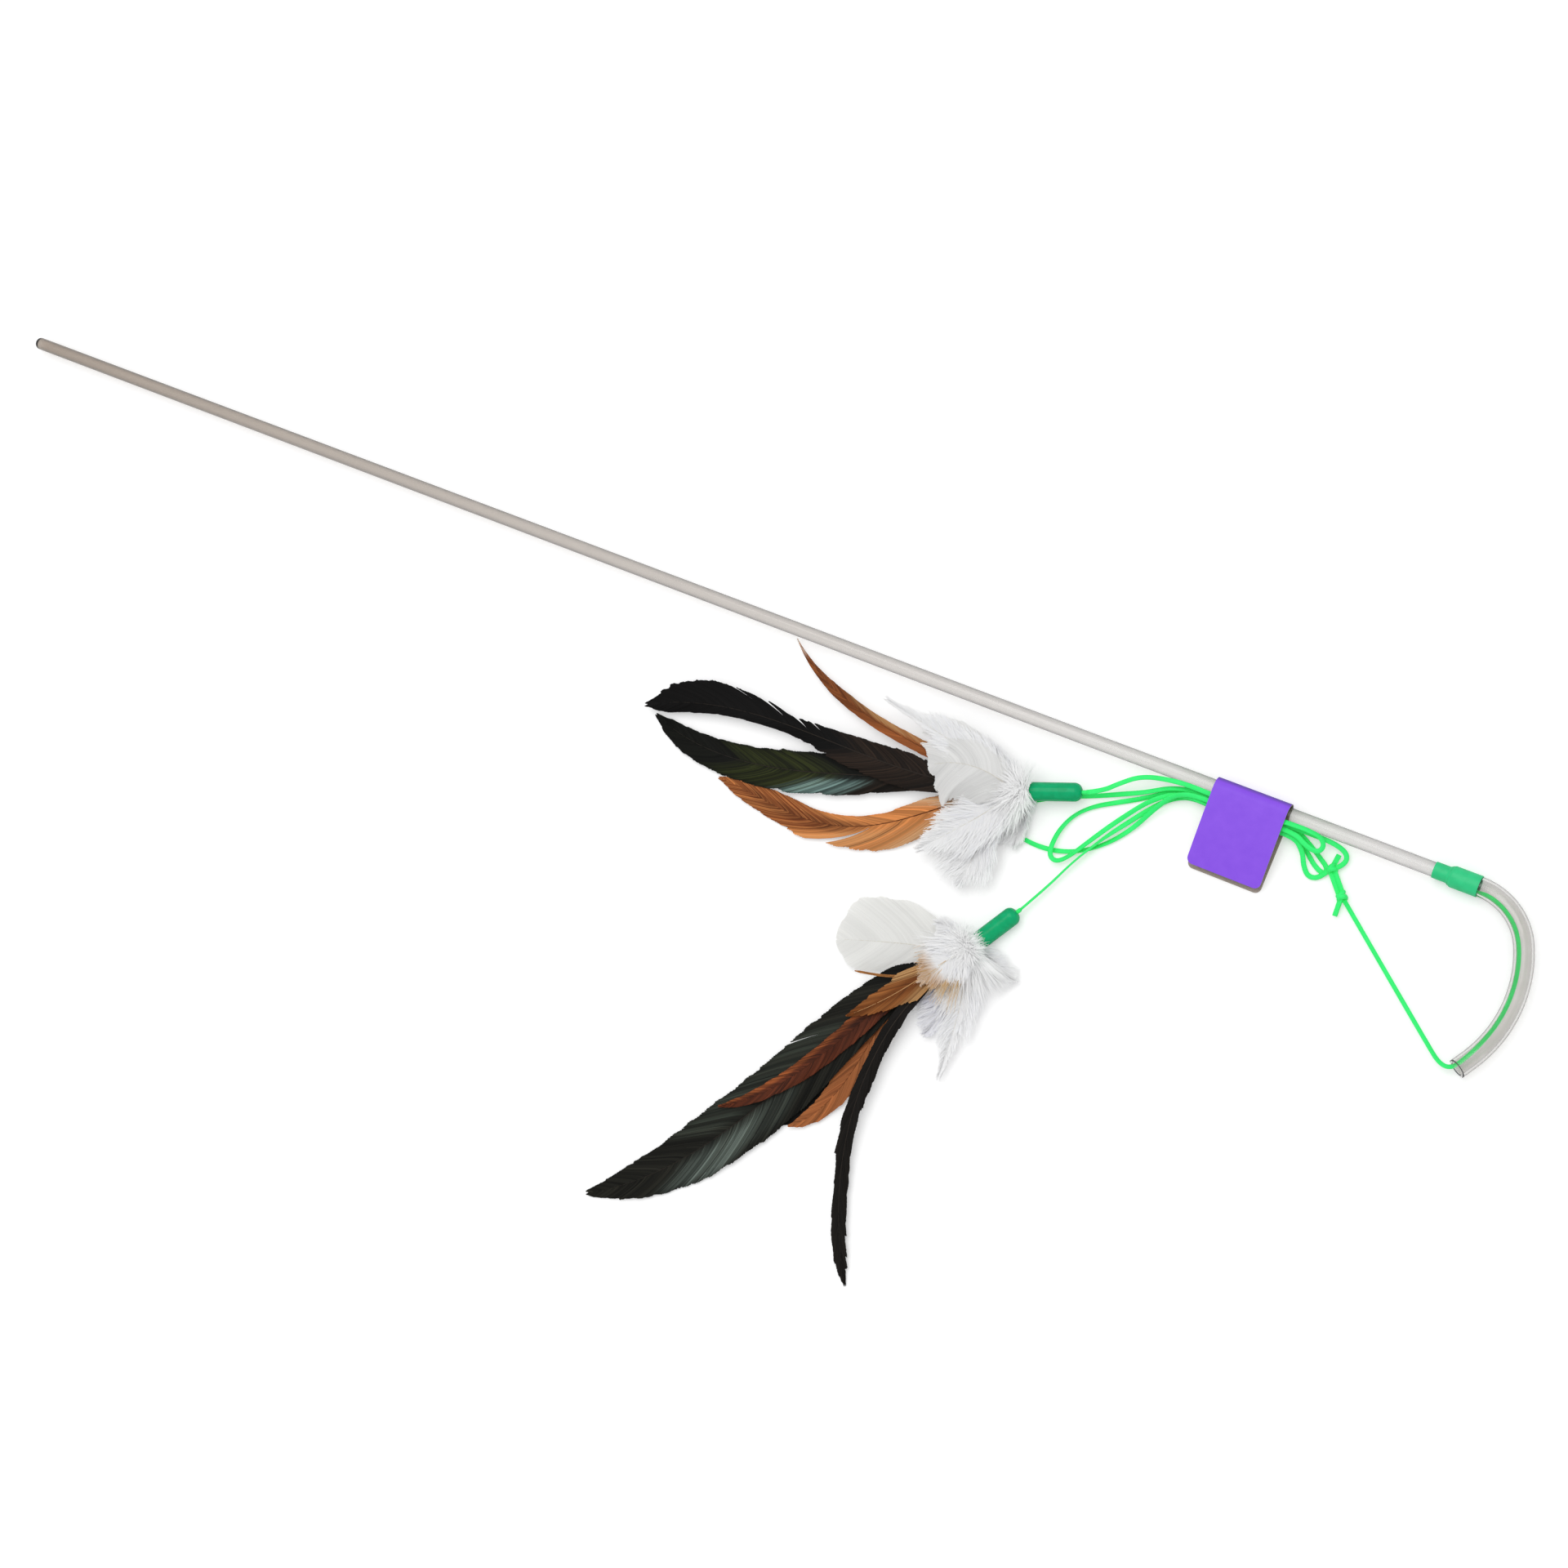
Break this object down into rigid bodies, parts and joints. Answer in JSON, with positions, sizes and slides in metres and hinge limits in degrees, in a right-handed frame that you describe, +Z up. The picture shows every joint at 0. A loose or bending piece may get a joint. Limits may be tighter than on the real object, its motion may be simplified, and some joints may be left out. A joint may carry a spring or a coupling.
{
  "type": "cat teaser wand",
  "caption": "Cat teaser wand: a clear rod with a bent flexible tube at its end, looped elastic cord held by a folded card label, and feather lures in green caps.",
  "frame": {"origin": "centre of the rod's rounded handle end", "axes": "+X along the rod from the handle end to the flexible tube, +Z up from the floor that the wand lies on, +Y away from the side where the cords and lures lie"},
  "size_m": [0.6361, 0.2141, 0.013],
  "materials": {
    "clear_acrylic": "clear polished acrylic",
    "clear_vinyl": "clear soft vinyl",
    "green_heat_shrink": "satin heat-shrink film",
    "green_vinyl": "glossy dipped vinyl",
    "green_elastic": "flat braided elastic",
    "purple_card": "coated card, bare",
    "clear_glue": "set glue",
    "white_feather": "soft white down",
    "ginger_feather": "ginger vane",
    "brown_feather": "dark brown vane",
    "black_feather": "black vane with a green sheen"
  },
  "bodies": {
    "wand": {"rod": "clear_acrylic", "flexible_tube": "clear_vinyl", "sleeve": "green_heat_shrink", "main_cord": "green_elastic", "near_link": "green_elastic", "far_link": "green_elastic", "lead_a": "green_elastic", "lead_b": "green_elastic", "lower_knot": "green_elastic", "upper_knot": "green_elastic"},
    "label": {"label": "purple_card"},
    "lure_a": {"cap_a": "green_vinyl", "stop_knot_a": "green_elastic", "glue_plug_a": "clear_glue", "green_black_feather": "black_feather", "black_arched_feather": "black_feather", "thin_brown_feather": "brown_feather", "ginger_feather_a": "ginger_feather", "white_back_feather_a": "white_feather", "white_low_feather_a": "white_feather", "white_top_feather_a": "white_feather", "white_long_feather_a": "white_feather", "white_mid_feather_a": "white_feather", "white_over_feather_a": "white_feather"},
    "lure_b": {"cap_b": "green_vinyl", "stop_knot_b": "green_elastic", "glue_plug_b": "clear_glue", "second_dark_feather": "black_feather", "orange_brown_feather": "ginger_feather", "long_dark_feather": "black_feather", "red_brown_feather": "brown_feather", "brown_filament": "brown_feather", "ginger_feather_b": "ginger_feather", "narrow_black_feather": "black_feather", "white_mid_feather_b": "white_feather", "white_right_feather_b": "white_feather", "round_white_feather": "white_feather", "white_low_feather_b": "white_feather", "white_top_feather_b": "white_feather", "white_side_feather_b": "white_feather"}
  },
  "joints": [
    {"name": "label_slide", "type": "slide", "parent": "wand", "child": "label", "axis": [1, 0, 0], "range_m": [-0.004, 0.003]},
    {"name": "lure_a_lift", "type": "hinge", "parent": "wand", "child": "lure_a", "pos_m": [0.48313, -0.0168, 0.00168], "axis": [-0.3355, 0.9421, 0], "range_deg": [0, 90]},
    {"name": "lure_b_lift", "type": "hinge", "parent": "wand", "child": "lure_b", "pos_m": [0.47683, -0.06078, -0.00032], "axis": [-0.8517, 0.524, 0], "range_deg": [0, 90]}
  ]
}
